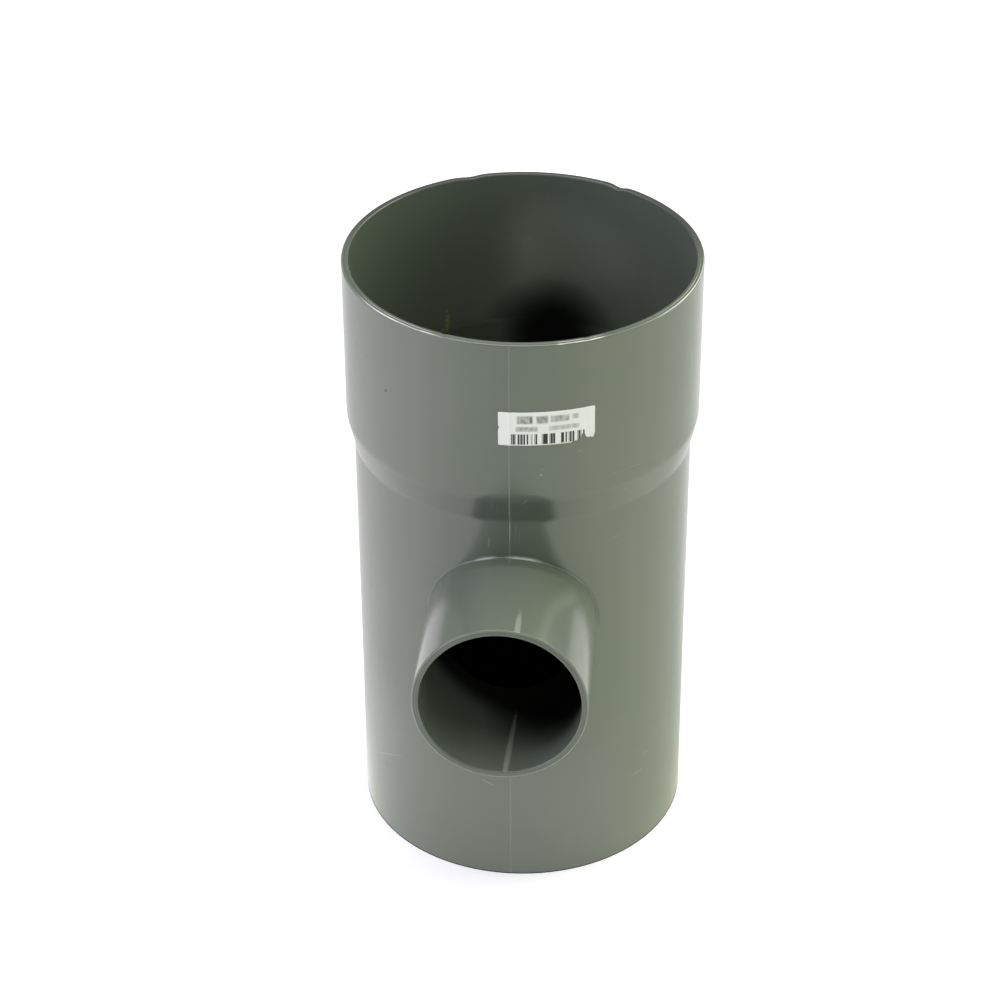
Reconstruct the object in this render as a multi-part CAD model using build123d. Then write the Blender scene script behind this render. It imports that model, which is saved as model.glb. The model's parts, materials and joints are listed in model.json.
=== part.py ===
from build123d import *
from math import cos, radians, sin
import os

# Reducing tee for thin-walled drain pipe, moulded in one piece, with a paper price label on its socket.
# Millimetres. The run stands along +Z with its socket mouth up, and the small branch points along -Y.
# The origin is the centre of the bottom end of the run.

# Run: a plain spigot below, and a socket above that takes the same size of pipe
run_diameter = 100.0
run_wall = 2.2
spigot_length = 62.0
branch_gap = 4.0
neck_length = 14.5
neck_draft = 0.15
socket_depth = 50.0
socket_clearance = 0.2
socket_wall = 2.15

# Shoulder between the neck and the socket, a shallow cone with a rounded start and end
shoulder_height = 9.5
shoulder_top_round = 10.0
shoulder_foot_round = 5.0

# Branch: a plain spigot, set a little off square so that water runs down into the run
branch_diameter = 50.0
branch_wall = 2.0
branch_length = 39.5
branch_spigot_length = 34.0
branch_draft = 0.1
branch_rise = 2.5
branch_root_round = 2.0
bore_edge_round = 0.8

# Softened edges of the three open ends
end_round = 0.5

# Raised line where the two halves of the mould met, in the plane of the run and the branch
parting_width = 0.5
parting_proud = 0.12
parting_stop = 1.2

# Price label, placed down from the socket's mouth and round its wall from the branch's side
label_start = -3.1
label_drop = 21.4
label_width = 27.5
label_height = 10.8
label_thickness = 0.12
label_glue = 0.03

# Tear at the label's lower corner: how far it rises and falls again along the edge, and the tab left beyond
tear_rise = 2.0
tear_fall = 1.8
tear_height = 3.6
tab_width = 2.6
tab_lift = 1.2

# Worked out from the sizes above
run_radius = run_diameter / 2
run_bore = run_radius - run_wall
socket_bore = run_radius + socket_clearance
socket_radius = socket_bore + socket_wall
branch_radius = branch_diameter / 2
branch_bore = branch_radius - branch_wall
branch_height = spigot_length + branch_gap + branch_radius
branch_reach = run_radius + branch_length
branch_angle = radians(branch_rise)
shoulder_foot = branch_height + branch_radius + neck_length
shoulder_top = shoulder_foot + shoulder_height
tee_length = shoulder_top + socket_depth
branch_line = Plane(
    origin=(0, 0, branch_height),
    x_dir=(1, 0, 0),
    z_dir=(0, -cos(branch_angle), sin(branch_angle)),
)

# How near two lengths have to be to count as the same
match = 1e-3


def turned(points, rounds=None):
    """A solid turned about +Z from an outline of (radius, height) points. Rounds is {corner number: radius}."""
    outline = Plane.XZ * make_face(Polyline(*points, close=True))
    for number, radius in (rounds or {}).items():
        corner_radius, corner_height = points[number]
        corner = outline.vertices().sort_by_distance((corner_radius, 0, corner_height))[0]
        outline = fillet(corner, radius)
    return revolve(outline, Axis.Z)


def joined(run, branch, root_round):
    """The run and the branch as one form, with a round where their surfaces meet."""
    form = run + branch
    return fillet(new_edges(run, branch, combined=form), root_round)


def outer_form(grow=0):
    """The outside of the whole tee as one solid form, grown by the height of the parting line where asked."""
    run = turned(
        [
            (0, 0),
            (run_radius + grow, 0),
            (run_radius + grow, spigot_length),
            (run_radius + neck_draft + grow, shoulder_foot),
            (socket_radius + grow, shoulder_top),
            (socket_radius + grow, tee_length),
            (0, tee_length),
        ],
        {3: shoulder_foot_round, 4: shoulder_top_round},
    )
    branch = turned(
        [
            (0, 0),
            (branch_radius + branch_draft + grow, 0),
            (branch_radius + grow, branch_reach - branch_spigot_length),
            (branch_radius + grow, branch_reach),
            (0, branch_reach),
        ]
    )
    return joined(run, branch_line * branch, branch_root_round)


def waterway():
    """Everything hollow: the run's bore, the socket and the branch's bore."""
    run = turned(
        [
            (0, 0),
            (run_bore, 0),
            (run_bore, shoulder_foot),
            (socket_bore, shoulder_top),
            (socket_bore, tee_length),
            (0, tee_length),
        ]
    )
    branch = Cylinder(branch_bore, branch_reach, align=(Align.CENTER, Align.CENTER, Align.MIN))
    return joined(run, branch_line * branch, bore_edge_round)


def end_edges(body):
    """The round edges of the socket's mouth, the run's foot and the branch's open end."""
    found = ShapeList()
    for edge in body.edges().filter_by(GeomType.CIRCLE):
        centre = edge.arc_center
        at_mouth = abs(centre.Z - tee_length) < match
        at_foot = abs(centre.Z) < match
        at_branch_end = abs(branch_line.to_local_coords(centre).Z - branch_reach) < match
        if at_mouth or at_foot or at_branch_end:
            found.append(edge)
    return found


def parting_line(hollow):
    """A thin raised line round the outside, stopped short of the three ends."""
    across = 2 * (socket_radius + branch_reach)
    height = tee_length - 2 * parting_stop
    slab = Pos(0, 0, tee_length / 2) * Box(parting_width, across, height)
    end_stop = Cylinder(branch_diameter, 2 * parting_stop)
    return (outer_form(parting_proud) & slab) - branch_line.offset(branch_reach) * end_stop - hollow


def tee_body():
    """The moulded tee, with softened ends and the parting line."""
    hollow = waterway()
    body = outer_form() - hollow
    body = fillet(end_edges(body), end_round)
    return body + parting_line(hollow)


def paper_label():
    """The price label: a patch of a thin sleeve round the socket, cut to an outline with a torn corner."""
    seat = socket_radius + parting_proud + label_glue
    sleeve = Cylinder(seat + label_thickness, tee_length, align=(Align.CENTER, Align.CENTER, Align.MIN))
    sleeve -= Cylinder(seat, tee_length, align=(Align.CENTER, Align.CENTER, Align.MIN))

    # Each outline point is (distance from the label's left edge, height)
    top = tee_length - label_drop
    bottom = top - label_height
    tab_start = label_width - tab_width
    tear_peak = tab_start - tear_fall
    outline = [
        (0, bottom),
        (tear_peak - tear_rise, bottom),
        (tear_peak, bottom + tear_height),
        (tab_start, bottom + tab_lift),
        (label_width, bottom + tab_lift),
        (label_width, top),
        (0, top),
    ]

    # Wrapped round the wall, a distance becomes an angle, seen here square on to the label's middle
    middle = label_width / 2
    facing_angle = (label_start + middle) / seat
    facing = Plane(
        origin=(0, 0, 0),
        x_dir=(cos(facing_angle), sin(facing_angle), 0),
        z_dir=(sin(facing_angle), -cos(facing_angle), 0),
    )
    seen = [(seat * sin((distance - middle) / seat), height) for distance, height in outline]
    cutter = extrude(facing * make_face(Polyline(*seen, close=True)), 2 * seat)
    return sleeve & cutter


def save(name, solid):
    """Write one part and print its size."""
    solid.label = name
    export_step(solid, f"parts/{name}.step")
    size = solid.bounding_box().size
    print(f"{name}: {size.X:.2f} x {size.Y:.2f} x {size.Z:.2f} mm, {solid.volume:.0f} cubic mm")


os.makedirs("parts", exist_ok=True)
save("tee_body", tee_body())
save("paper_label", paper_label())
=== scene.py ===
import json
import math
import bpy
import numpy as np
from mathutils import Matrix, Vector


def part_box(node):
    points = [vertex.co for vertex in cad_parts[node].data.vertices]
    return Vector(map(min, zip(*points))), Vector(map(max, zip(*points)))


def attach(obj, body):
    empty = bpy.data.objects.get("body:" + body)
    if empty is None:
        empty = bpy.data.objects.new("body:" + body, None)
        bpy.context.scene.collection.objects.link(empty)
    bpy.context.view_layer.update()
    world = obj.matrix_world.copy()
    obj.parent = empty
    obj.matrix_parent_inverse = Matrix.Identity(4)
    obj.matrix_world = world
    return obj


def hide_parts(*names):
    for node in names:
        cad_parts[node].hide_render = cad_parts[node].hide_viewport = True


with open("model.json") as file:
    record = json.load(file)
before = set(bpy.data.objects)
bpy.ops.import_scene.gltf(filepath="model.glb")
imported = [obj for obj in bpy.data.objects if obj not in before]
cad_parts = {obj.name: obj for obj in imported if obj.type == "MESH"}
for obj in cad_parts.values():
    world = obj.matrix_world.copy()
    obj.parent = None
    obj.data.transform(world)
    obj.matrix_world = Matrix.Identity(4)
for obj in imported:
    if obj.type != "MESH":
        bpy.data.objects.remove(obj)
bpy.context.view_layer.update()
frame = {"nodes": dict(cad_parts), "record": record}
mm = 0.001
mounts = {mount["name"]: mount for mount in frame["record"]["mounts"]}
print("frame loaded: nodes", sorted(frame["nodes"]))


# Shader maths as Python expressions: a Wire is a node's output, and each operator adds a Math node
class Wire:
    def __init__(self, tree, port):
        self.tree = tree
        self.port = port

    def calc(self, operation, *values):
        return addNode(self.tree, "ShaderNodeMath", {"operation": operation}, values)

    def __add__(self, other):
        return self.calc("ADD", self, other)

    def __radd__(self, other):
        return self.calc("ADD", other, self)

    def __sub__(self, other):
        return self.calc("SUBTRACT", self, other)

    def __rsub__(self, other):
        return self.calc("SUBTRACT", other, self)

    def __mul__(self, other):
        return self.calc("MULTIPLY", self, other)

    def __rmul__(self, other):
        return self.calc("MULTIPLY", other, self)

    def __truediv__(self, other):
        return self.calc("DIVIDE", self, other)

    def __neg__(self):
        return self.calc("MULTIPLY", self, -1.0)

    def __abs__(self):
        return self.calc("ABSOLUTE", self)

    def larger(self, other):
        return self.calc("MAXIMUM", self, other)

    def upToOne(self):  # kept from 0 to 1
        return self.calc("MINIMUM", self.larger(0.0), 1.0)

    def rise(self, start, end):  # 0 at start, 1 at end, eased between them
        settings = {"interpolation_type": "SMOOTHSTEP"}
        values = {"Value": self, "From Min": start, "From Max": end}
        return addNode(self.tree, "ShaderNodeMapRange", settings, values)

    def fall(self, start, end):  # 1 at start, 0 at end
        return 1 - self.rise(start, end)

    def band(self, start, full, fade, end):  # 0 up to start, 1 from full to fade, 0 from end on
        return self.rise(start, full) * self.fall(fade, end)


# Any other node: its type, its settings, then the values or links of its sockets, by name or by place
def addNode(tree, kind, settings=None, values=(), output=0):
    node = tree.nodes.new(kind)
    for name, value in (settings or {}).items():
        if name == "stops":
            ramp = node.color_ramp
            while len(ramp.elements) < len(value):
                ramp.elements.new(1.0)
            for element, (place, colour) in zip(ramp.elements, value):
                element.position = place
                element.color = (*colour, 1.0)
        else:
            setattr(node, name, value)
    named = values if isinstance(values, dict) else dict(enumerate(values))
    for name, value in named.items():
        if isinstance(value, Wire):
            tree.links.new(value.port, node.inputs[name])
        else:
            node.inputs[name].default_value = value
    return Wire(tree, node.outputs[output] if node.outputs else None)


def noise(tree, place, scale, detail=2.0, rough=0.5):  # soft random values, about 0.5 on the whole
    values = {"Vector": place, "Scale": scale, "Detail": detail, "Roughness": rough}
    return addNode(tree, "ShaderNodeTexNoise", {}, values)


def mixColour(tree, share, first, second):  # the first colour at share 0, the second at 1
    values = {0: share, 6: first, 7: second}
    return addNode(tree, "ShaderNodeMix", {"data_type": "RGBA"}, values, output=2)


def splitPlace(tree, place, count):  # the first numbers of a place: x, y and z
    return [addNode(tree, "ShaderNodeSeparateXYZ", {}, [place], output=part) for part in range(count)]


def stretched(tree, values, scales):  # a place whose numbers are the values times their scales
    scaled = [value * scale for value, scale in zip(values, scales)]
    return addNode(tree, "ShaderNodeCombineXYZ", {}, scaled)


def distance(first, second):  # the root of the sum of their squares
    return first.calc("SQRT", first * first + second * second)


def sideAngle(x, y):  # round the tee, in radians: 0 on the branch's side, growing towards +X
    return x.calc("ARCTAN2", x, -y)


def newMaterial(name):
    material = bpy.data.materials.new(name)
    material.use_nodes = True
    tree = material.node_tree
    tree.nodes.clear()
    return material, tree


def principled(tree, values):
    return addNode(tree, "ShaderNodeBsdfPrincipled", {}, values)


def finishMaterial(tree, shader):
    addNode(tree, "ShaderNodeOutputMaterial", {}, {"Surface": shader})


def srgb(*levels):  # a colour as seen on screen, 0 to 255, as the linear light that shaders take
    shares = [level / 255 for level in levels]
    light = [s / 12.92 if s <= 0.04045 else ((s + 0.055) / 1.055) ** 2.4 for s in shares]
    return (*light, 1.0)


# Grids: quads between neighbouring rows and columns, the last column joined to the first
def gridQuads(rowCount, columnCount, joinRows=False):
    rows = np.arange(rowCount if joinRows else rowCount - 1)[:, None]
    columns = np.arange(columnCount)[None, :]
    nextRow = (rows + 1) % rowCount
    nextColumn = (columns + 1) % columnCount
    here = rows * columnCount + columns
    beside = rows * columnCount + nextColumn
    across = nextRow * columnCount + nextColumn
    above = nextRow * columnCount + columns
    return np.stack([here, beside, across, above], axis=-1)


weldParts = 1000  # points that agree to one such part of a millimetre are the same


# Points that coincide become one, and unused ones go
def weld(points, quads, *extras):
    used, quads = np.unique(quads, return_inverse=True)
    points = points[used]
    keys = np.round(points * weldParts).astype(np.int64)
    first, merged = np.unique(keys, axis=0, return_index=True, return_inverse=True)[1:]
    extras = [extra[used][first] for extra in extras]
    return points[first], merged.reshape(-1)[quads.reshape(-1, 4)], *extras


def openEdges(quads):  # edges that don't have a face on both sides
    edges = np.sort(np.stack([quads, np.roll(quads, -1, axis=1)], axis=-1).reshape(-1, 2), axis=1)
    counts = np.unique(edges, axis=0, return_counts=True)[1]
    return int((counts != 2).sum())


# A visible piece from its grid, in metres: it rides on the root body and takes the place of one CAD node
def newPiece(name, points, quads, material, node, normals=None):
    mesh = bpy.data.meshes.new(name)
    mesh.from_pydata((points * mm).tolist(), [], quads.tolist())
    mesh.shade_smooth()
    if normals is not None:
        mesh.normals_split_custom_set_from_vertices(normals.tolist())
    mesh.materials.append(material)
    piece = bpy.data.objects.new(name, mesh)
    bpy.context.scene.collection.objects.link(piece)
    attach(piece, "root")
    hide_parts(node)
    return piece


def pointValue(piece, name, values):  # one number at each point, for the material to read
    layer = piece.data.attributes.new(name, "FLOAT", "POINT")
    layer.data.foreach_set("value", values.astype(np.float32))


# The tee's sizes in millimetres: what its mounts and its box give, and the rest
socketRadius = round(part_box("tee_body")[1].x / mm, 2)
teeLength = round(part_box("tee_body")[1].z / mm, 2)
runRadius = mounts["bottom_spigot"]["dims"]["r_mm"]
socketBore = mounts["top_socket"]["dims"]["r_mm"]
branchRadius = mounts["branch_spigot"]["dims"]["r_mm"]
branchAxis = np.array(mounts["branch_spigot"]["axis"])
branchUp = np.array([0.0, branchAxis[2], -branchAxis[1]])  # square to the branch, mostly upwards
branchPlace = np.array(mounts["branch_spigot"]["pos_m"]) / mm
branchHeight = branchPlace[2] - branchAxis[2] * branchPlace[1] / branchAxis[1]
tee = dict(
    runBore=47.8,
    spigotTop=62.0,
    neckDraft=0.15,
    shoulderFoot=130.5,
    shoulderTop=140.0,
    draftRound=1.0,  # how far each round reaches to both sides of its corner
    footRound=0.61,
    topRound=1.22,
    ledgeRound=0.4,
    branchBore=23.0,
    branchReach=89.498,
    rootRound=0.4,
    boreRound=0.8,
    endRound=0.5,
    rimStep=0.14,  # the outer half of a rim lies this much lower than its inner half
    rimStepHalf=0.12,
    partingWidth=0.46,
    partingProud=0.09,
    partingFlank=0.16,
    partingStop=1.2,
    partingEase=0.3,  # how long its slope is at either end
    partingWorn=(1.0, 6.0, 0.12),  # past the socket's radius it sinks over this stretch to this share
    onBranch=2.0,  # this far past the socket's radius a point is on the branch
    windowHalf=33.0,  # half of the square round the branch's root that has its own grid
)
teeGrid = dict(  # how finely the tee's grid is divided: places, and numbers of rows, columns or points
    nearParting=[0.09, 0.17, 0.25, 0.34, 0.5, 0.75, 1.1, 1.6],
    rimAcross=[0.22, 0.12, 0.06, 0.0, -0.06, -0.12, -0.22],
    footPlaces=[0.9, 1.2, 1.5],
    footEven=2.5,  # evenly spaced rows start here
    mouthPlaces=[1.0, 0.7, 0.35],
    mouthEven=2.0,
    pastShoulder=(2.0, 1.0),  # how far the close rows go past it, outside and inside
    footRows=12,
    shoulderRows=34,
    mouthRows=13,
    lowerInside=13,
    middleInside=30,
    upperInside=14,
    halfTurn=30,
    sideTurn=61,
    backTurn=110,
    endRows=6,
    rootRows=9,
    patchRows=8,
    tubeRows=20,
    cornerPoints=17,
    wallPoints=3801,
    ballTries=8,
)


# A wall's outline as (height, radius) corners, each but the ends rounded by a parabola that starts and ends
# the same way from it. Gives radius and slope at any height.
def roundedWall(corners, reaches):
    corners = np.array(corners, float)
    share = np.linspace(0, 1, teeGrid["cornerPoints"])[:, None]
    outline = [corners[:1]]
    for before, corner, after, reach in zip(corners, corners[1:], corners[2:], reaches):
        start = corner + (before - corner) / np.linalg.norm(before - corner) * reach
        end = corner + (after - corner) / np.linalg.norm(after - corner) * reach
        outline.append((1 - share) ** 2 * start + 2 * share * (1 - share) * corner + share**2 * end)
    outline = np.concatenate(outline + [corners[-1:]])
    heights = np.linspace(corners[0, 0], corners[-1, 0], teeGrid["wallPoints"])
    radii = np.interp(heights, outline[:, 0], outline[:, 1])
    slopes = np.gradient(radii, heights)
    return lambda z: (np.interp(z, heights, radii), np.interp(z, heights, slopes))


outerWall = roundedWall(
    [
        (0.0, runRadius),
        (tee["spigotTop"], runRadius),
        (tee["shoulderFoot"], runRadius + tee["neckDraft"]),
        (tee["shoulderTop"], socketRadius),
        (teeLength, socketRadius),
    ],
    [tee["draftRound"], tee["footRound"], tee["topRound"]],
)
innerWall = roundedWall(
    [
        (0.0, tee["runBore"]),
        (tee["shoulderFoot"], tee["runBore"]),
        (tee["shoulderTop"], socketBore),
        (teeLength, socketBore),
    ],
    [tee["ledgeRound"], tee["ledgeRound"]],
)


# A wall's points and normals at a height and an angle round the run, 0 at the branch and growing towards +X
def onWall(wall, angle, height, side):
    angle, height = np.broadcast_arrays(angle, height)
    radius, slope = wall(height)
    across, along = np.sin(angle), -np.cos(angle)
    points = np.stack([radius * across, radius * along, height], axis=-1)
    normals = np.stack([across, along, -slope], axis=-1) * side
    return points, normals / np.linalg.norm(normals, axis=-1, keepdims=True)


# Columns crowd at the parting plane, so that its thin ridge has a true section. The branch's turns start at
# its right side and go over its top, its left side and its bottom.
nearParting = np.array(teeGrid["nearParting"])
rootReach = branchRadius + tee["rootRound"]
fineTurn = nearParting / rootReach
halfTurn = np.concatenate([fineTurn, np.linspace(fineTurn[-1], math.pi / 4, teeGrid["halfTurn"])[1:]])
topTurns = math.pi / 2 + np.concatenate([-halfTurn[::-1], [0.0], halfTurn])
sideTurns = np.linspace(-math.pi / 4, math.pi / 4, teeGrid["sideTurn"])
leftTurns = math.pi - sideTurns[::-1]
branchTurns = np.concatenate([sideTurns[:-1], topTurns[:-1], leftTurns[:-1], -topTurns[::-1][:-1]])

windowAngle = tee["windowHalf"] / runRadius
windowColumns = windowAngle / np.tan(topTurns[::-1])
backFine = nearParting / runRadius
backEven = np.linspace(windowAngle, math.pi - backFine[-1], teeGrid["backTurn"])[1:]
backColumns = np.concatenate([backEven, math.pi - backFine[-2::-1]])
columns = np.concatenate([windowColumns, backColumns, [math.pi], 2 * math.pi - backColumns[::-1]])
outerMiddle = branchHeight - runRadius * branchAxis[2] / branchAxis[1]
innerMiddle = branchHeight - tee["runBore"] * branchAxis[2] / branchAxis[1]
outerRows = outerMiddle + tee["windowHalf"] * np.tan(sideTurns)
innerRows = innerMiddle + windowAngle * tee["runBore"] * np.tan(sideTurns)


# The flat of a rim with an eased step in its middle: the radii across it, the depth below the end, and the
# step's slope, by which the normal leans out
def rimFlat(outerRadius, innerRadius):
    half = tee["rimStepHalf"]
    away = np.array(teeGrid["rimAcross"])[:, None]
    share = np.clip((half - away) / (2 * half), 0, 1)
    sink = tee["rimStep"] * (1 - share**2 * (3 - 2 * share))
    lean = tee["rimStep"] * 6 * share * (1 - share) / (2 * half)
    return (outerRadius + innerRadius) / 2 + away, sink, lean


# A quarter of a circle about a centre, turned round the run's axis, for the softened edges of its ends
def quarterRound(centreRadius, centreHeight, start):
    turn = (math.radians(start) + np.linspace(0, math.pi / 2, teeGrid["endRows"]))[:, None]
    angle, turn = np.broadcast_arrays(columns[None, :], turn)
    across, along = np.sin(angle), -np.cos(angle)
    normals = np.stack([np.cos(turn) * across, np.cos(turn) * along, np.sin(turn)], axis=-1)
    centre = np.stack([centreRadius * across, centreRadius * along, centreHeight + 0 * turn], axis=-1)
    return centre + tee["endRound"] * normals, normals


# The rim's flat turned about the run's axis
def mouthFlat():
    radius, sink, lean = rimFlat(socketRadius, socketBore)
    across, along = np.sin(columns), -np.cos(columns)
    points = np.stack([radius * across, radius * along, teeLength - sink + 0 * across], axis=-1)
    normals = np.stack([lean * across, lean * along, 1 + 0 * lean * across], axis=-1)
    return points, normals / np.linalg.norm(normals, axis=-1, keepdims=True)


# The run is one outline turned about its axis: up the outside, over the mouth, down the inside and under the
# foot. The section value says where a point lies on it: 0 outside, 0 to 1 over the outer round, 1 to 2 over
# the end's flat, 2 to 3 over the inner round, 3 inside.
def runSkin():
    low = tee["endRound"]
    high = teeLength - tee["endRound"]
    pastOutside, pastInside = [tee["shoulderTop"] + reach for reach in teeGrid["pastShoulder"]]
    footEven = np.linspace(teeGrid["footEven"], outerRows[0], teeGrid["footRows"])[:-1]
    footRows = np.concatenate([teeGrid["footPlaces"], footEven])
    shoulderRows = np.linspace(outerRows[-1], pastOutside, teeGrid["shoulderRows"])[1:]
    mouthEven = np.linspace(shoulderRows[-1], high - teeGrid["mouthEven"], teeGrid["mouthRows"])[1:]
    mouthRows = np.concatenate([mouthEven, high - np.array(teeGrid["mouthPlaces"])])
    outside = np.concatenate([footRows, outerRows, shoulderRows, mouthRows])
    below = np.linspace(low, innerRows[0], teeGrid["lowerInside"])[1:-1]
    above = np.linspace(innerRows[-1], pastInside, teeGrid["middleInside"])[1:]
    top = np.linspace(above[-1], high, teeGrid["upperInside"])[1:-1]
    hollow = np.concatenate([below, innerRows, above, top])[::-1]
    parts = [
        quarterRound(runRadius - low, low, -90),
        onWall(outerWall, columns[None, :], outside[:, None], 1),
        quarterRound(socketRadius - low, high - tee["rimStep"], 0),
        mouthFlat(),
        quarterRound(socketBore + low, high, 90),
        onWall(innerWall, columns[None, :], hollow[:, None], -1),
        quarterRound(tee["runBore"] + low, low, 180),
    ]
    points = np.concatenate([part[0] for part in parts])
    normals = np.concatenate([part[1] for part in parts])
    places = [(1, 0), (0, 0), (0, 1), (1, 2), (2, 3), (3, 3), (3, 2)]
    section = [np.linspace(*place, len(part[0])) for place, part in zip(places, parts)]
    section = np.broadcast_to(np.concatenate(section)[:, None], points.shape[:2])
    quads = gridQuads(*points.shape[:2], joinRows=True)

    # Both windows are left open, for the branch's own grid
    span = len(windowColumns) - 1
    outerStart = len(parts[0][0]) + len(footRows)
    innerStart = len(points) - len(parts[-1][0]) - len(below) - len(innerRows)
    keep = np.ones(quads.shape[:2], bool)
    keep[outerStart : outerStart + len(outerRows) - 1, :span] = False
    keep[innerStart : innerStart + len(innerRows) - 1, :span] = False
    return points, normals, section, quads[keep]


def spoke():  # from the branch's axis outwards, one for each turn
    right = np.cos(branchTurns)[:, None] * np.array([1.0, 0.0, 0.0])
    return right + np.sin(branchTurns)[:, None] * branchUp


# The round where the branch meets a wall: a ball rolls along both, and its centre is one radius off each. The
# centre's distance along the branch follows from its distance to the run's axis, by repeated tries.
def rollingBall(wall, tubeRadius, ballRadius, side):
    out = tubeRadius + ballRadius
    acrossX = out * np.cos(branchTurns)
    height = branchHeight + out * np.sin(branchTurns)
    for _ in range(teeGrid["ballTries"]):
        away = np.sqrt((wall(height)[0] + ballRadius) ** 2 - acrossX**2)
        along = (away + out * np.sin(branchTurns) * branchAxis[2]) / -branchAxis[1]
        height = branchHeight + along * branchAxis[2] + out * np.sin(branchTurns) * branchUp[2]
    centre = np.stack([acrossX, -away, height], axis=-1)
    toRun = -centre * np.array([1.0, 1.0, 0.0])
    toRun /= np.linalg.norm(toRun, axis=1, keepdims=True)
    toBranch = -spoke()
    opening = np.arccos((toRun * toBranch).sum(axis=1, keepdims=True))
    share = np.linspace(0, 1, teeGrid["rootRows"])[:, None, None]
    directions = np.sin((1 - share) * opening) * toRun + np.sin(share * opening) * toBranch
    directions = directions / np.sin(opening)
    return centre + ballRadius * directions, -side * directions, along


# From the window's edge to the round, on the wall itself
def rootPatch(wall, middle, halfHeight, contact, side):
    reach = np.maximum(np.abs(np.cos(branchTurns)), np.abs(np.sin(branchTurns)))
    edgeAngle = windowAngle * np.cos(branchTurns) / reach
    edgeHeight = middle + halfHeight * np.sin(branchTurns) / reach
    endAngle = np.arctan2(contact[:, 0], -contact[:, 1])
    share = np.linspace(0, 1, teeGrid["patchRows"])[:-1, None]
    angle = (1 - share) * edgeAngle + share * endAngle
    height = (1 - share) * edgeHeight + share * contact[:, 2]
    return onWall(wall, angle, height, side)


# The branch's tube as one strip: root patch, round, outside, end, bore, bore's edge and the run's inside
def branchSkin():
    outPoints, outNormals, outStart = rollingBall(outerWall, branchRadius, tee["rootRound"], 1)
    inPoints, inNormals, inStart = rollingBall(innerWall, tee["branchBore"], tee["boreRound"], -1)
    low = tee["endRound"]
    end = tee["branchReach"] - low
    outEnd = end - tee["rimStep"]
    flatRadius, sink, lean = rimFlat(branchRadius, tee["branchBore"])
    tilt = np.sqrt(1 + lean**2)
    share = np.linspace(0, 1, teeGrid["tubeRows"])[1:-1, None]
    turn = np.linspace(0, math.pi / 2, teeGrid["endRows"])[:, None]
    sine, cosine = np.sin(turn), np.cos(turn)
    bore = tee["branchBore"]
    strips = [  # distance along the branch, radius, and the normal's lean to the end and away from the axis
        (outStart + share * (outEnd - outStart), branchRadius, 0, 1),
        (outEnd + low * sine, branchRadius - low + low * cosine, sine, cosine),
        (tee["branchReach"] - sink, flatRadius, 1 / tilt, lean / tilt),
        (end + low * cosine, bore + low - low * sine, cosine, -sine),
        ((inStart + share * (end - inStart))[::-1], bore, 0, -1),
    ]
    spread = []
    for strip in strips:
        shape = np.broadcast_shapes(strip[0].shape, branchTurns.shape)
        spread.append([np.broadcast_to(value, shape) for value in strip])
    along, radius, lean, side = [np.concatenate(rows)[..., None] for rows in zip(*spread)]
    middle = np.array([0.0, 0.0, branchHeight])
    tubePoints = middle + along * branchAxis + radius * spoke()
    tubeNormals = lean * branchAxis + side * spoke()
    innerHalf = windowAngle * tee["runBore"]
    outer = rootPatch(outerWall, outerMiddle, tee["windowHalf"], outPoints[0], 1)
    inner = rootPatch(innerWall, innerMiddle, innerHalf, inPoints[0], -1)
    points = np.concatenate([outer[0], outPoints, tubePoints, inPoints[::-1], inner[0][::-1]])
    normals = np.concatenate([outer[1], outNormals, tubeNormals, inNormals[::-1], inner[1][::-1]])
    lengths = [len(outer[0]) + len(outPoints) + len(share), len(turn), len(sink), len(turn)]
    lengths.append(len(points) - sum(lengths))
    places = [(0, 0), (0, 1), (1, 2), (2, 3), (3, 3)]
    section = np.concatenate([np.linspace(*place, length) for place, length in zip(places, lengths)])
    section = np.broadcast_to(section[:, None], points.shape[:2])
    return points, normals, section, gridQuads(*points.shape[:2]).reshape(-1, 4)


# The parting line: every outer point near the plane of run and branch is raised along its normal, by the
# line's height inside its width and less over its flanks. It is worn down on the branch.
def raiseParting(points, normals, section):
    x, y, z = points.T
    alongBranch = points @ branchAxis - branchHeight * branchAxis[2]
    pastSocket = np.hypot(x, y) - socketRadius
    onBranch = pastSocket > tee["onBranch"]
    toEnd = np.where(onBranch, tee["branchReach"] - alongBranch, np.minimum(z, teeLength - z))
    isOuter = section < 0.5
    fade = np.clip((toEnd - tee["partingStop"]) / tee["partingEase"], 0, 1) * isOuter
    wornFrom, wornTo, leftOver = tee["partingWorn"]
    fade = fade * np.interp(pastSocket, [wornFrom, wornTo], [1, leftOver])
    edge = (tee["partingWidth"] / 2 - np.abs(x)) / tee["partingFlank"]
    rise = tee["partingProud"] * np.clip(edge, 0, 1) * fade
    steep = tee["partingProud"] / tee["partingFlank"] * ((edge > 0) & (edge < 1)) * fade
    tilt = normals.copy()
    tilt[:, 0] += np.sign(x) * steep
    return points + rise[:, None] * normals, tilt / np.linalg.norm(tilt, axis=1, keepdims=True)


rimNicks = [  # angle in degrees, half width in degrees, depth in millimetres
    (202.0, 3.2, 0.5),
    (150.0, 2.4, 0.85),
    (-21.0, 0.8, 0.25),
    (24.5, 0.9, 0.2),
    (-71.0, 1.0, 0.2),
]
nickReach = 4.0


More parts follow.
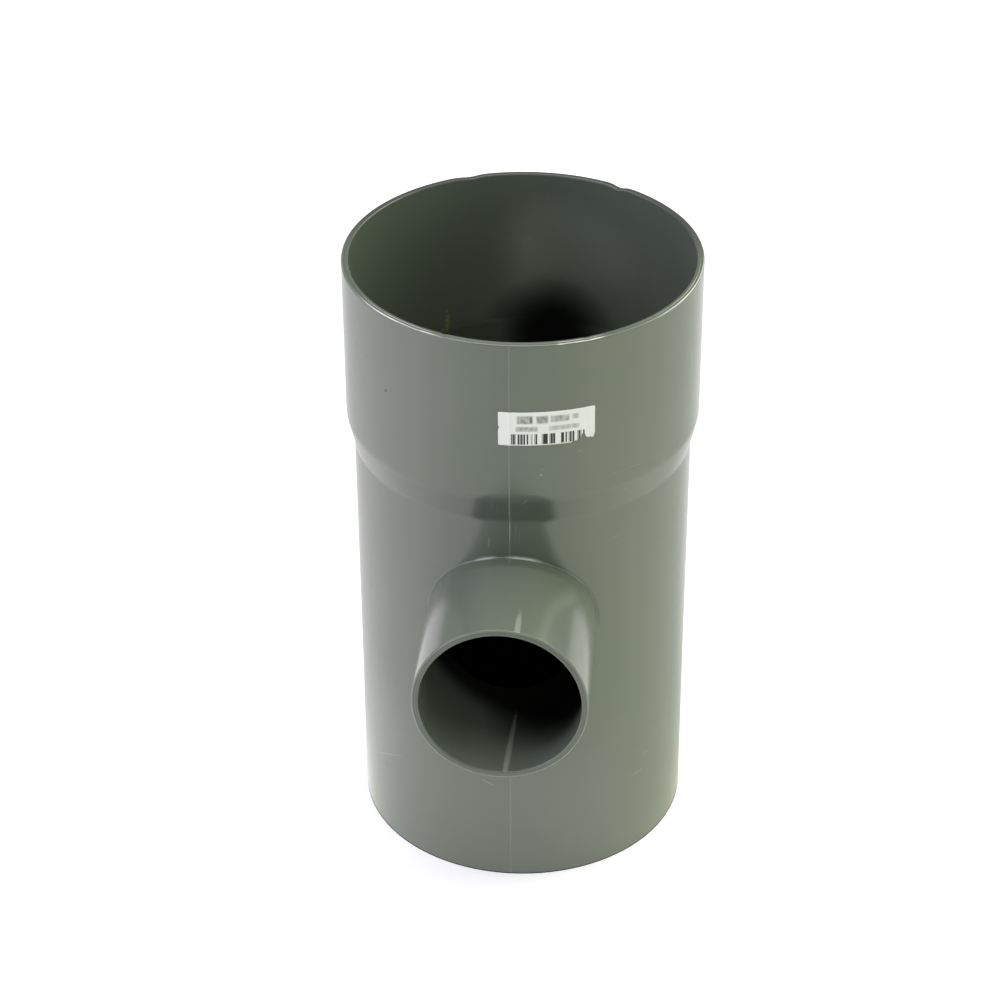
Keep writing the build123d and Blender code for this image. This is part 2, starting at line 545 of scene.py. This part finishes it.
# Nicks in the mouth's edge: the wall's last millimetres sink by a bell curve round each nick's angle, and the
# normals lean by its slope
def nickRim(points, normals):
    points, normals = points.copy(), normals.copy()
    angle = np.degrees(np.arctan2(points[:, 0], -points[:, 1]))
    radius = np.hypot(points[:, 0], points[:, 1])
    share = np.clip((points[:, 2] - teeLength + nickReach) / nickReach, 0, 1) ** 2
    for place, width, depth in rimNicks:
        away = (angle - place + 180) % 360 - 180
        sink = depth * np.exp(-((away / width) ** 2)) * share
        slope = sink * 2 * away / width**2 / np.radians(1) / np.maximum(radius, 1)
        points[:, 2] -= sink
        turning = np.stack([np.cos(np.radians(angle)), np.sin(np.radians(angle)), 0 * angle], axis=-1)
        normals -= (slope * normals[:, 2])[:, None] * turning
    return points, normals / np.linalg.norm(normals, axis=1, keepdims=True)


# The run's and the branch's grids welded into one closed skin, with its parting line and its nicks
def teeSkin():
    grids = [runSkin(), branchSkin()]
    points, normals = [np.concatenate([grid[part].reshape(-1, 3) for grid in grids]) for part in (0, 1)]
    section = np.concatenate([grid[2].reshape(-1) for grid in grids])
    quads = np.concatenate([grids[0][3], grids[1][3] + grids[0][2].size])
    points, quads, normals, section = weld(points, quads, normals, section)
    print("tee:", len(points), "points,", len(quads), "quads, open edges", openEdges(quads))
    points, normals = raiseParting(points, normals, section)
    points, normals = nickRim(points, normals)
    return points, normals, section, quads


# Grey plastic with a soft gloss, with the marks that the real one has. Places are in millimetres. Two numbers
# are where something starts to grow or fade and where that is complete. Four are a band: where it starts to
# grow, is full, starts to fade and is gone.
plastic = dict(
    colour=(0.103, 0.126, 0.093, 1.0),
    cloud=(0.111, 0.132, 0.101, 1.0),
    scuff=(0.42, 0.45, 0.38, 1.0),
    speck=(0.030, 0.034, 0.026, 1.0),
    crumb=(0.34, 0.36, 0.09, 1.0),
    # edge is the colour of painted highlights: on the rims' edges and at the branch's root
    edge=(0.68, 0.70, 0.63, 1.0),
    groove=(0.060, 0.072, 0.055, 1.0),
    black=(0.0, 0.0, 0.0, 1.0),
    roughness=0.18,
    insideRoughness=0.3,
    cloudRoughness=0.06,
    paleRoughness=0.2,
    scratchRoughness=0.1,
    refraction=1.5,
    specular=0.75,
    fineNoise=(900.0, 3.0, 0.6),  # scale, detail, roughness
    broadNoise=(22.0, 3.0, 0.55),
    clouding=(0.35, 0.7),
    grainStrength=0.25,
    grainDepth=0.00004,
    grainFine=0.03,
    markCore=0.25,  # a mark is full up to this share of its size, squared
    markRagged=(0.55, 0.9),
    crumbRagged=(0.4, 0.6),
    scratchStretch=(0.03, 1.6, 0.05),  # round the wall, upwards and outwards
    scratchLines=(0.68, 0.76),
    scratchPlaces=(0.5, 0.65),
    scratchShare=0.04,
)
zones = dict(  # where the tee's parts begin and end
    inside=(2.4, 3.0),  # by the section value
    outside=(0.1, 0.5),
    runEnd=(0.2, 1.5),  # past the socket's radius
    branchStart=(1, 3),
    upperHalf=(-3, 3),  # above the branch's height
    pastRunBore=(0.02, 0.12),
    belowSocket=(118, 129),
)
rims = dict(  # painted highlights on the rims' edges, and painted shade on the line between them, on the flats and on the back rim, by the section value
    outerLine=(0.35, 0.6, 0.85, 1.0),
    stepLine=(1.42, 1.5, 1.6, 1.7),
    wearSides=[((-52, -40, -24, -18), 1.0), ((12, 14, 24, 27), 1.0), ((42, 52, 70, 90), 0.7)],
    wearEverywhere=0.1,
    wearStretch=(0.09, 1.4, 7),  # round the wall, along the section, and from run to branch
    wearNoise=(1.0, 3.0, 0.6),
    wearRagged=(0.3, 0.55),
    darkLine=(0.95, 1.1, 1.3, 1.42),
    darkShare=0.7,
    flat=(0.95, 1.1, 1.95, 2.3),
    flatShare=0.4,
    back=(0.5, 0.9, 2.6, 2.9),
    backFrom=(-5, 25),
    backShare=0.8,
)
shade = dict(  # painted shade, where little light comes
    most=0.97,  # how much of the light the inside loses, far from the mouths
    blotMiddle=(5.5, 135),  # a painted shade spot low in the socket at the back: x and height
    blotHalf=(24, 23),
    blotBack=(20, 35),
    ledge=(138.4, 141.4),  # the cone under the socket
    ledgeShare=0.55,
    runDepth=(40, 136),
    boreRight=0.033,  # the branch's bore darkens by this for each millimetre to the right
    boreInward=0.037,  # and by this for each millimetre inwards
    boreGrowth=(0.3, 1.3),
    boreLip=(1, 12),
    boreDepth=(27, 42),
    streakShare=1.4,
)
paintedLight = dict(  # painted light: lighter on the branch's top, on the left in its bore, and high on the socket's back wall
    branchMiddle=3,
    branchSides=(4, 20),
    branchShare=0.1,
    boreLeft=(-14, 6),
    boreShare=0.17,
    socketBack=(30, 42),
)
lines = dict(  # painted shade on the shoulder, painted shade and painted highlights at the branch's root, and the parting line
    shoulder=(130, 132, 137, 141),
    shoulderMiddle=-6,
    shoulderSides=(18, 48),
    shoulderShare=0.75,
    rootWidth=(0.3, 1.0),
    rootFront=(-20, -10),
    rootDark=(9, 13),
    rootDarkShare=0.85,
    rootShines=[(4, (2, 6), 0.45), (-7, (1, 4), 0.35)],  # x of the middle, its fading, strength
    partingWidth=(0.12, 0.3),
    partingFront=(-2, 2),
    partingShare=0.1,
)

# A mark is (distance round the wall from the branch's side, height, half length, half width, lean in degrees,
# strength). The streaks are placed by x and the distance along the branch, the painted glow patches by x and
# height.
streaks = [(4.8, 87.0, 10.5, 1.1, 91, 0.38)]
boreStreaks = [(1.8, 80.0, 23.0, 1.1, 92, 0.5)]
crumbs = [
    (-129.2, 142.5, 4.5, 1.0, 90, 0.6),
    (-127.8, 138.9, 1.6, 1.1, 0, 0.8),
]
# Painted light high on the socket's back wall: a broad glow and a small painted highlight
glowPatches = [
    (11.0, 167.0, 27.0, 18.0, -12, 0.13),
    (-2.3, 166.3, 3.6, 2.6, 90, 0.06),
]
specks = [
    (-52.8, 173.4, 1.0, 0.28, 82, 0.55),
    (-47.0, 172.2, 0.35, 0.3, 0, 0.5),
    (-38.0, 165.3, 0.9, 0.6, 35, 0.85),
    (-69.0, 150.0, 0.8, 0.4, 60, 0.5),
    (-46.8, 24.6, 4.5, 1.4, 20, 0.16),
]
scuffs = [
    (-4.9, 136.3, 2.0, 0.5, 90, 0.17),
    (4.0, 138.4, 1.5, 0.3, 55, 0.26),
    (4.7, 136.9, 0.8, 0.3, 60, 0.16),
    (8.5, 147.8, 0.6, 0.5, 10, 0.26),
    (-6.1, 123.0, 2.4, 0.5, 86, 0.15),
    (1.6, 127.0, 4.2, 0.2, 90, 0.08),
    (2.5, 125.5, 2.8, 0.2, 90, 0.07),
    (8.8, 149.5, 0.5, 0.3, 10, 0.12),
    (19.2, 154.5, 1.2, 0.4, -30, 0.06),
    (34.0, 136.8, 1.5, 0.5, 15, 0.06),
    (29.6, 139.7, 1.0, 0.4, 40, 0.06),
    (31.8, 120.4, 1.3, 0.5, 0, 0.05),
    (-48.7, 27.5, 14.5, 0.3, 29, 0.12),
    (-7.1, 35.1, 2.6, 0.4, -24, 0.16),
]


def plasticMaterial():
    material, tree = newMaterial("greyPlastic")
    place = addNode(tree, "ShaderNodeTexCoord", output="Object")
    x, y, z = [part * (1 / mm) for part in splitPlace(tree, place, 3)]
    section = addNode(tree, "ShaderNodeAttribute", {"attribute_name": "section"}, output=2)
    inside = section.rise(*zones["inside"])
    outside = section.fall(*zones["outside"])
    around = sideAngle(x, y) * runRadius
    along = z * branchAxis[2] + y * branchAxis[1] - branchHeight * branchAxis[2]
    fromRun = distance(x, y)
    onRun = outside * (fromRun - socketRadius).fall(*zones["runEnd"])
    onBranch = (fromRun - socketRadius).rise(*zones["branchStart"])
    upper = (z - branchHeight).rise(*zones["upperHalf"])
    fine = noise(tree, place, *plastic["fineNoise"])
    broad = noise(tree, place, *plastic["broadNoise"])

    # A mark is an ellipse with a ragged edge: 1 in its middle, 0 outside
    def marks(spots, sideways, upright, core=plastic["markCore"]):
        total = 0.0
        least, more = plastic["markRagged"]
        ragged = least + more * fine
        for middle, height, halfLength, halfWidth, lean, strength in spots:
            turn = math.radians(lean)
            right = sideways - middle
            up = upright - height
            lengthwise = (right * math.cos(turn) + up * math.sin(turn)) * (1 / halfLength)
            crosswise = (up * math.cos(turn) - right * math.sin(turn)) * (1 / halfWidth)
            reach = lengthwise * lengthwise + crosswise * crosswise
            total = total + (reach * ragged).fall(core, 1.0) * strength
        return total.upToOne()

    # Scratches: thin level lines of stretched noise, only where a broad noise is high
    drawn = stretched(tree, [around, z, fromRun], plastic["scratchStretch"])
    scratch = noise(tree, drawn, 1.0).rise(*plastic["scratchLines"]) * broad.rise(*plastic["scratchPlaces"])

    # Painted highlights on the rims' edges, more at some sides than at others and broken up by noise, with
    # painted shade on the rims' middle line, flats and back
    highlightPlace = stretched(tree, [around, section, onBranch], rims["wearStretch"])
    highlightBreaks = noise(tree, highlightPlace, *rims["wearNoise"]).rise(*rims["wearRagged"])
    sides = sum(around.band(*side) * strength for side, strength in rims["wearSides"])
    rimLight = (sides * (1 - onBranch) + rims["wearEverywhere"]) * highlightBreaks
    rimHighlights = (section.band(*rims["outerLine"]) + section.band(*rims["stepLine"])) * rimLight
    darkLine = section.band(*rims["darkLine"]) * rims["darkShare"]
    rimFlatShade = section.band(*rims["flat"]) * rims["flatShare"]
    backRimShade = section.band(*rims["back"]) * y.rise(*rims["backFrom"]) * rims["backShare"]

    # Painted shade, mixed in as a black unlit surface: little light comes low in the socket at the back, to
    # all of the run below it, and to the far part of the branch's bore, more on its right
    shadeSpotX, shadeSpotHeight = shade["blotMiddle"]
    halfX, halfHeight = shade["blotHalf"]
    acrossShadeSpot = (x - shadeSpotX) * (1 / halfX)
    upShadeSpot = (z - shadeSpotHeight) * (1 / halfHeight)
    shadeSpot = (acrossShadeSpot * acrossShadeSpot + upShadeSpot * upShadeSpot).fall(0.0, 1.0) * y.rise(*shade["blotBack"])
    ledge = z.fall(*shade["ledge"]) * shade["ledgeShare"]
    inSocket = shadeSpot.larger(ledge).larger(z.fall(*shade["runDepth"]))
    fromEnd = tee["branchReach"] - along
    inBore = (x * shade["boreRight"] + fromEnd * shade["boreInward"]).rise(*shade["boreGrowth"])
    inBore = inBore * fromEnd.rise(*shade["boreLip"])
    inBore = inBore + (1 - inBore) * fromEnd.rise(*shade["boreDepth"])
    pastWall = (fromRun - tee["runBore"]).rise(*zones["pastRunBore"]) * z.fall(*zones["belowSocket"])
    boreStreak = marks(boreStreaks, x, along, 0.0) * (1 - upper) * inside
    deep = inSocket + (inBore - inSocket) * pastWall
    deep = deep * (1 - boreStreak * shade["streakShare"]).upToOne() * inside * shade["most"]

    # Pale: scuffs, streaks and scratches, and painted light on the branch's top, in its bore and on the
    # socket's back wall
    topLight = abs(x - paintedLight["branchMiddle"]).fall(*paintedLight["branchSides"]) * upper * onBranch * outside
    boreLeftLight = inside * pastWall * x.fall(*paintedLight["boreLeft"])
    socketGlow = marks(glowPatches, x, z, 0.0) * inside * y.rise(*paintedLight["socketBack"])
    streak = marks(streaks, x, along, 0.0) * upper * outside * onBranch
    pale = marks(scuffs, around, z) * onRun + topLight * paintedLight["branchShare"] + streak + boreStreak
    pale = pale + boreLeftLight * paintedLight["boreShare"] + socketGlow + scratch * plastic["scratchShare"] * outside
    pale = pale.upToOne()

    # Painted shade on the shoulder above the branch, painted shade and painted highlights at the branch's
    # root, where both walls are near, and the parting line
    shoulder = z.band(*lines["shoulder"]) * onRun * lines["shoulderShare"]
    shoulder = shoulder * abs(around - lines["shoulderMiddle"]).fall(*lines["shoulderSides"])
    # The parting line's pale tint on the front is a painted highlight along its ridge
    parting = abs(x).fall(*lines["partingWidth"]) * onRun * y.fall(*lines["partingFront"])
    aboveBranch = (z - branchHeight) * branchUp[2] + y * branchUp[1]
    toRoot = abs(distance(x, aboveBranch) - branchRadius).larger(abs(fromRun - runRadius))
    root = toRoot.fall(*lines["rootWidth"]) * outside * upper * y.fall(*lines["rootFront"])
    highlights = [abs(x - middle).fall(*fading) * strength for middle, fading, strength in lines["rootShines"]]

    # Each layer covers those before it, by its share
    layers = [
        (marks(specks, around, z) * onRun, "speck"),
        (pale, "scuff"),
        (shoulder, "groove"),
        (root * x.rise(*lines["rootDark"]) * lines["rootDarkShare"], "groove"),
        (root * sum(highlights), "edge"),
        (marks(crumbs, around, z) * inside * fine.rise(*plastic["crumbRagged"]), "crumb"),
        (parting * lines["partingShare"], "scuff"),
        (darkLine, "groove"),
        (rimFlatShade, "groove"),
        (backRimShade, "speck"),
        (rimHighlights.upToOne(), "edge"),
    ]
    tint = mixColour(tree, broad.rise(*plastic["clouding"]), plastic["colour"], plastic["cloud"])
    for share, colour in layers:
        tint = mixColour(tree, share, tint, plastic[colour])
    roughness = plastic["roughness"] + (plastic["insideRoughness"] - plastic["roughness"]) * inside
    roughness = roughness + (broad - 0.5) * plastic["cloudRoughness"]
    roughness = roughness + pale * plastic["paleRoughness"] + scratch * plastic["scratchRoughness"]
    bump = {
        "Strength": plastic["grainStrength"],
        "Distance": plastic["grainDepth"],
        "Height": broad + fine * plastic["grainFine"],
    }
    values = {
        "Base Color": tint,
        "Roughness": roughness,
        "IOR": plastic["refraction"],
        "Specular IOR Level": plastic["specular"],
        "Normal": addNode(tree, "ShaderNodeBump", {}, bump),
    }
    lit = principled(tree, values)
    unlit = principled(tree, {"Base Color": plastic["black"], "Roughness": 1.0, "Specular IOR Level": 0.0})
    finishMaterial(tree, addNode(tree, "ShaderNodeMixShader", {}, [deep, lit, unlit]))
    return material


points, normals, section, quads = teeSkin()
teePiece = newPiece("tee", points, quads, plasticMaterial(), "tee_body", normals)
pointValue(teePiece, "section", section)

# Paper price label: its outline is (distance from the left edge, height) in millimetres
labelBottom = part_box("paper_label")[0].z / mm
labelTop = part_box("paper_label")[1].z / mm
label = dict(
    start=-3.1,
    width=27.5,
    lift=0.04,
    thickness=0.1,
    cornerRound=0.35,
    tornEdge=[
        (0.0, 0.0),
        (20.6, 0.0),
        (21.0, 0.4),
        (22.2, 0.5),
        (22.9, 0.8),
        (23.4, 1.6),
        (23.8, 2.7),
        (24.3, 2.9),
        (24.6, 1.9),
        (25.0, 1.1),
        (25.7, 0.8),
        (26.1, 1.1),
        (26.8, 0.6),
        (27.1, 0.9),
        (27.5, 2.2),
    ],
    tornLeast=0.05,  # fibres show where the tear is higher than this
    fibres=[(0.05, 19, 0), (0.04, 31, 1)],  # each is a wave: height, how close its crests are, and its start
    nickHeight=5.8,
    nickHalf=0.4,
    nickDepth=0.35,
    nickReach=1.5,
    ridgeFade=(0.27, 0.72),  # how far the paper follows the parting line to both sides
    curl=0.22,
    curlGrowth=(0.2, 1.4),
    columns=276,
    rows=25,
)


# The sheet is a closed ring of rows, up the front face and down the back face, with a strip at either end. A
# distance from the left edge becomes an angle round the socket. The torn part curls off it by a cubed share.
def labelSkin():
    height = labelTop - labelBottom
    across = np.linspace(0, label["width"], label["columns"])
    share = np.linspace(0, 1, label["rows"])[:, None]
    cut = label["cornerRound"]
    toSide = np.minimum(np.minimum(across, label["width"] - across), cut)
    corner = cut - np.sqrt(cut**2 - (cut - toSide) ** 2)
    torn = np.interp(across, *zip(*label["tornEdge"]))
    fibres = sum(size * np.sin(across * close + start) for size, close, start in label["fibres"])
    low = np.maximum(torn + fibres * (torn > label["tornLeast"]), corner)
    upward = low + share * (height - corner - low)
    nick = label["nickDepth"] * np.exp(-(((upward - label["nickHeight"]) / label["nickHalf"]) ** 2))
    sideways = across + nick * np.clip(1 - across / label["nickReach"], 0, 1)
    fromSeam = label["start"] + sideways
    angle = fromSeam / socketRadius
    ridge = tee["partingProud"] * np.interp(np.abs(fromSeam), label["ridgeFade"], [1, 0])
    loose = label["curl"] * np.interp(torn, label["curlGrowth"], [0, 1]) * (1 - share) ** 3
    rows = []
    for layer in (label["thickness"], 0.0):
        radius = socketRadius + label["lift"] + ridge + loose + layer
        place = [radius * np.sin(angle), -radius * np.cos(angle), labelBottom + upward]
        rows.append(np.stack(np.broadcast_arrays(*place), axis=-1))
    points = np.concatenate([rows[0], rows[1][::-1]])
    spots = np.stack([sideways / label["width"], upward / height], axis=-1)
    spots = np.concatenate([spots, spots[::-1]])
    rowCount, columnCount = points.shape[:2]
    quads = gridQuads(rowCount, columnCount, joinRows=True)[:, :-1].reshape(-1, 4)
    row = np.arange(rowCount // 2 - 1)
    firstEnd = np.stack([row, row + 1, rowCount - 2 - row, rowCount - 1 - row], axis=-1) * columnCount
    lastEnd = firstEnd[:, ::-1] + columnCount - 1
    quads = np.concatenate([quads, firstEnd, lastEnd])
    print("label:", points.size // 3, "points, open edges", openEdges(quads))
    return points.reshape(-1, 3), spots.reshape(-1, 2), quads


# White paper with blank bars of uneven width and soft grey strips above them
paper = dict(
    colour=srgb(240, 243, 234),
    printed=srgb(38, 40, 38),
    faded=srgb(108, 112, 103),
    aged=srgb(222, 226, 216),
    agedNoise=(9.0, 3.0),
    agedPlaces=(0.5, 0.8),
    agedShare=0.3,
    roughness=0.55,
    refraction=1.45,
    barWidth=0.42,
    barSpan=(3.6, 24.4),
    barHeights=(0.35, 3.7),
    barSoft=(0.05, 0.1),  # across and upwards
    barChances=[((0.3, 0.34), 0.5), ((0.5, 0.54), 0.6)],  # a bar of higher chance is darker
    stripSoft=0.35,
    stripStretch=(0.9, 0.4),
    stripNoise=(1.0, 3.0, 0.6),
    stripBlots=(0.3, 0.7),
    stripLeast=0.45,
    strips=[  # from, to, low and high edge, strength
        (5.3, 9.6, 7.1, 9.6, 1.0),
        (10.7, 14.0, 7.1, 9.5, 0.9),
        (14.7, 19.9, 7.4, 9.4, 0.8),
        (20.9, 22.6, 7.8, 9.3, 0.7),
        (4.9, 11.0, 4.6, 6.1, 0.75),
        (14.3, 22.8, 4.7, 6.1, 0.6),
    ],
)


def paperMaterial():
    material, tree = newMaterial("labelPaper")
    spot = addNode(tree, "ShaderNodeUVMap", {"uv_map": "sheet"})
    spotAcross, spotUp = splitPlace(tree, spot, 2)
    across = spotAcross * label["width"]
    upward = spotUp * (labelTop - labelBottom)

    def window(value, low, high, soft):  # 1 between low and high, 0 outside, soft at both ends
        return value.band(low - soft, low + soft, high - soft, high + soft)

    # Bars: each cell of one bar's width has a chance value of its own
    cell = across.calc("FLOOR", across / paper["barWidth"])
    chance = addNode(tree, "ShaderNodeTexWhiteNoise", {"noise_dimensions": "1D"}, {"W": cell})
    softAcross, softUp = paper["barSoft"]
    bars = sum(chance.rise(*rise) * strength for rise, strength in paper["barChances"])
    bars = bars * window(across, *paper["barSpan"], softAcross) * window(upward, *paper["barHeights"], softUp)

    # Strips: soft blocks, paler where a stretched noise is low
    grain = stretched(tree, [across, upward], paper["stripStretch"])
    blots = noise(tree, grain, *paper["stripNoise"]).rise(*paper["stripBlots"])
    strips = 0.0
    soft = paper["stripSoft"]
    for left, right, low, high, strength in paper["strips"]:
        strips = strips + window(across, left, right, soft) * window(upward, low, high, soft) * strength
    strips = strips * (paper["stripLeast"] + (1 - paper["stripLeast"]) * blots)

    aged = noise(tree, spot, *paper["agedNoise"]).rise(*paper["agedPlaces"]) * paper["agedShare"]
    plain = mixColour(tree, aged, paper["colour"], paper["aged"])
    greyed = mixColour(tree, strips.upToOne(), plain, paper["faded"])
    colour = mixColour(tree, bars.upToOne(), greyed, paper["printed"])
    values = {"Base Color": colour, "Roughness": paper["roughness"], "IOR": paper["refraction"]}
    finishMaterial(tree, principled(tree, values))
    return material


points, spots, quads = labelSkin()
labelPiece = newPiece("label", points, quads, paperMaterial(), "paper_label")
sheet = labelPiece.data.uv_layers.new(name="sheet")
sheet.data.foreach_set("uv", spots[quads.reshape(-1)].astype(np.float32).reshape(-1))

# Studio, in metres: a wide pale floor, an even room, tall soft panels that stand round the tee and one above
# it. A side is the angle round the tee in degrees, 0 in front and growing towards +X. A panel's glow is its
# brightness in red, green and blue.
studio = dict(
    floorHalf=6.0,
    floorColour=(0.8, 0.8, 0.8, 1.0),
    floorRoughness=0.6,
    floorGlow=0.4,
    white=(1.0, 1.0, 1.0, 1.0),
    black=(0.0, 0.0, 0.0, 1.0),
    footprint=0.05,
    roomFill=0.39,
    panelDistance=1.3,
    panelWidth=0.7,
    topHeight=1.6,
    topWidth=1.4,
    topGlow=(2.4, 2.4, 2.25),
    mirrorGlow=[  # the floor's glow for reflections only, by the side that it lies on: painted reflections
        (-180, (0.08, 0.09, 0.12)),
        (-135, (0.02, 0.02, 0.02)),
        (-100, (0.43, 0.41, 0.34)),
        (-65, (0.66, 0.65, 0.58)),
        (-32, (0.32, 0.38, 0.28)),
        (-5, (0.13, 0.18, 0.06)),
        (25, (0.34, 0.43, 0.14)),
        (50, (0.55, 0.62, 0.28)),
        (80, (0.42, 0.45, 0.24)),
        (120, (0.06, 0.06, 0.03)),
        (180, (0.08, 0.09, 0.12)),
    ],
    mirrorStrength=0.92,
    nearGlow=(1.0, 1.02, 0.88, 1.0),  # the glow that they see close in front of the tee, a painted reflection
    nearReach=(0.085, 0.13),
    nearMiddle=-20,
    nearSides=(55, 100),
    nearShare=0.85,
)
panels = {
    "panelFrontLeft": dict(side=-45, low=0.0, high=1.86, glow=(1.1, 1.1, 1.3)),
    "panelLeftLow": dict(side=-75, low=0.0, high=0.61, glow=(0.69, 0.58, 0.99)),
    "panelLeft": dict(side=-75, low=0.61, high=1.86, glow=(2.2, 2.0, 3.0)),
    "panelBackLeft": dict(side=-105, low=0.61, high=1.86, glow=(1.15, 0.95, 1.55)),
    "panelFrontRight": dict(side=45, low=0.61, high=1.86, glow=(0.19, 0.22, 0.2)),
    "panelRight": dict(side=75, low=0.0, high=1.86, glow=(0.33, 0.4, 0.24)),
    "panelFarRight": dict(side=105, low=0.0, high=1.86, glow=(2.75, 2.84, 2.4)),
    "panelBackRight": dict(side=135, low=0.61, high=1.86, glow=(2.7, 2.8, 2.3)),
}


# A soft panel: an area lamp of power P and area A glows with P / (pi A)
def addLamp(name, place, towards, width, height, glow):
    lamp = bpy.data.lights.new(name, "AREA")
    lamp.shape = "RECTANGLE"
    lamp.size = width
    lamp.size_y = height
    brightest = max(glow)
    lamp.energy = brightest * math.pi * width * height
    lamp.color = [part / brightest for part in glow]
    piece = bpy.data.objects.new(name, lamp)
    piece.location = place
    piece.rotation_mode = "QUATERNION"
    piece.rotation_quaternion = towards.to_track_quat("-Z", "Y")
    piece.visible_camera = False
    bpy.context.scene.collection.objects.link(piece)


# A panel stands upright at its side, from its low to its high edge, and faces the tee
def addPanel(name, side, low, high, glow):
    turn = math.radians(side)
    away = Vector((math.sin(turn), -math.cos(turn), 0))
    place = away * studio["panelDistance"] + Vector((0, 0, (low + high) / 2))
    addLamp(name, place, -away, studio["panelWidth"], high - low, glow)


# The floor looks white to the camera. For reflections only it glows by its side and, close to the tee, with
# the near
# glow: painted reflections. Inside the tee it is black, a painted shade where no light falls.
def addFloor():
    half = studio["floorHalf"]
    corners = [(-half, -half, 0), (half, -half, 0), (half, half, 0), (-half, half, 0)]
    mesh = bpy.data.meshes.new("floor")
    mesh.from_pydata(corners, [], [(0, 1, 2, 3)])
    material, tree = newMaterial("paleFloor")
    place = addNode(tree, "ShaderNodeTexCoord", output="Object")
    x, y = splitPlace(tree, place, 2)
    away = distance(x, y)
    side = sideAngle(x, y) * math.degrees(1)
    seen = addNode(tree, "ShaderNodeLightPath", output="Is Camera Ray")
    mirrored = addNode(tree, "ShaderNodeLightPath", output="Is Glossy Ray")
    outside = away.calc("GREATER_THAN", away, studio["footprint"])
    stops = [((angle + 180) / 360, colour) for angle, colour in studio["mirrorGlow"]]
    glow = addNode(tree, "ShaderNodeValToRGB", {"stops": stops}, [(side + 180) * (1 / 360)])
    near = away.fall(*studio["nearReach"]) * abs(side - studio["nearMiddle"]).fall(*studio["nearSides"])
    glow = mixColour(tree, near * studio["nearShare"], glow, studio["nearGlow"])
    values = {
        "Base Color": mixColour(tree, outside, studio["black"], studio["floorColour"]),
        "Roughness": studio["floorRoughness"],
        "Specular IOR Level": 0.0,
        "Emission Color": mixColour(tree, seen, glow, studio["white"]),
        "Emission Strength": (seen * studio["floorGlow"] + mirrored * studio["mirrorStrength"]) * outside,
    }
    finishMaterial(tree, principled(tree, values))
    mesh.materials.append(material)
    floor = bpy.data.objects.new("floor", mesh)
    bpy.context.scene.collection.objects.link(floor)


# The room is white to the camera, and gives an even fill light to all else
def addRoom():
    world = bpy.data.worlds.new("room")
    world.use_nodes = True
    tree = world.node_tree
    tree.nodes.clear()
    seen = addNode(tree, "ShaderNodeLightPath", output="Is Camera Ray")
    strength = studio["roomFill"] + seen * (1 - studio["roomFill"])
    shader = addNode(tree, "ShaderNodeBackground", {}, {"Color": studio["white"], "Strength": strength})
    addNode(tree, "ShaderNodeOutputWorld", {}, {"Surface": shader})
    bpy.context.scene.world = world


addFloor()
addRoom()
for name, panel in panels.items():
    addPanel(name, **panel)
above = Vector((0, 0, studio["topHeight"]))
addLamp("panelTop", above, Vector((0, 0, -1)), studio["topWidth"], studio["topWidth"], studio["topGlow"])
bpy.context.scene.view_settings.view_transform = "Standard"
print("studio set")

# Camera: where it looks, from how far and from which side, in millimetres and degrees
view = dict(
    aim=(0, 0, 105.2),
    distance=901.5,
    elevation=33.31,
    azimuth=4.17,
    pictureSide=1000,  # in pixels, as the two below
    focalPixels=2971.2,
    aimPixel=522.8,
    sensorWidth=36.0,
)


# The focal length in pixels becomes one on the sensor. The aim isn't the picture's middle, hence the shift.
def addCamera():
    lens = bpy.data.cameras.new("camera")
    camera = bpy.data.objects.new("camera", lens)
    up = math.radians(view["elevation"])
    aside = math.radians(view["azimuth"])
    back = Vector((math.sin(aside) * math.cos(up), -math.cos(aside) * math.cos(up), math.sin(up)))
    camera.location = (Vector(view["aim"]) + back * view["distance"]) * mm
    camera.rotation_mode = "QUATERNION"
    camera.rotation_quaternion = (-back).to_track_quat("-Z", "Y")
    lens.sensor_width = view["sensorWidth"]
    lens.lens = view["focalPixels"] / view["pictureSide"] * view["sensorWidth"]
    lens.shift_x = (view["pictureSide"] / 2 - view["aimPixel"]) / view["pictureSide"]
    bpy.context.scene.collection.objects.link(camera)
    bpy.context.scene.camera = camera


addCamera()
print("camera set")
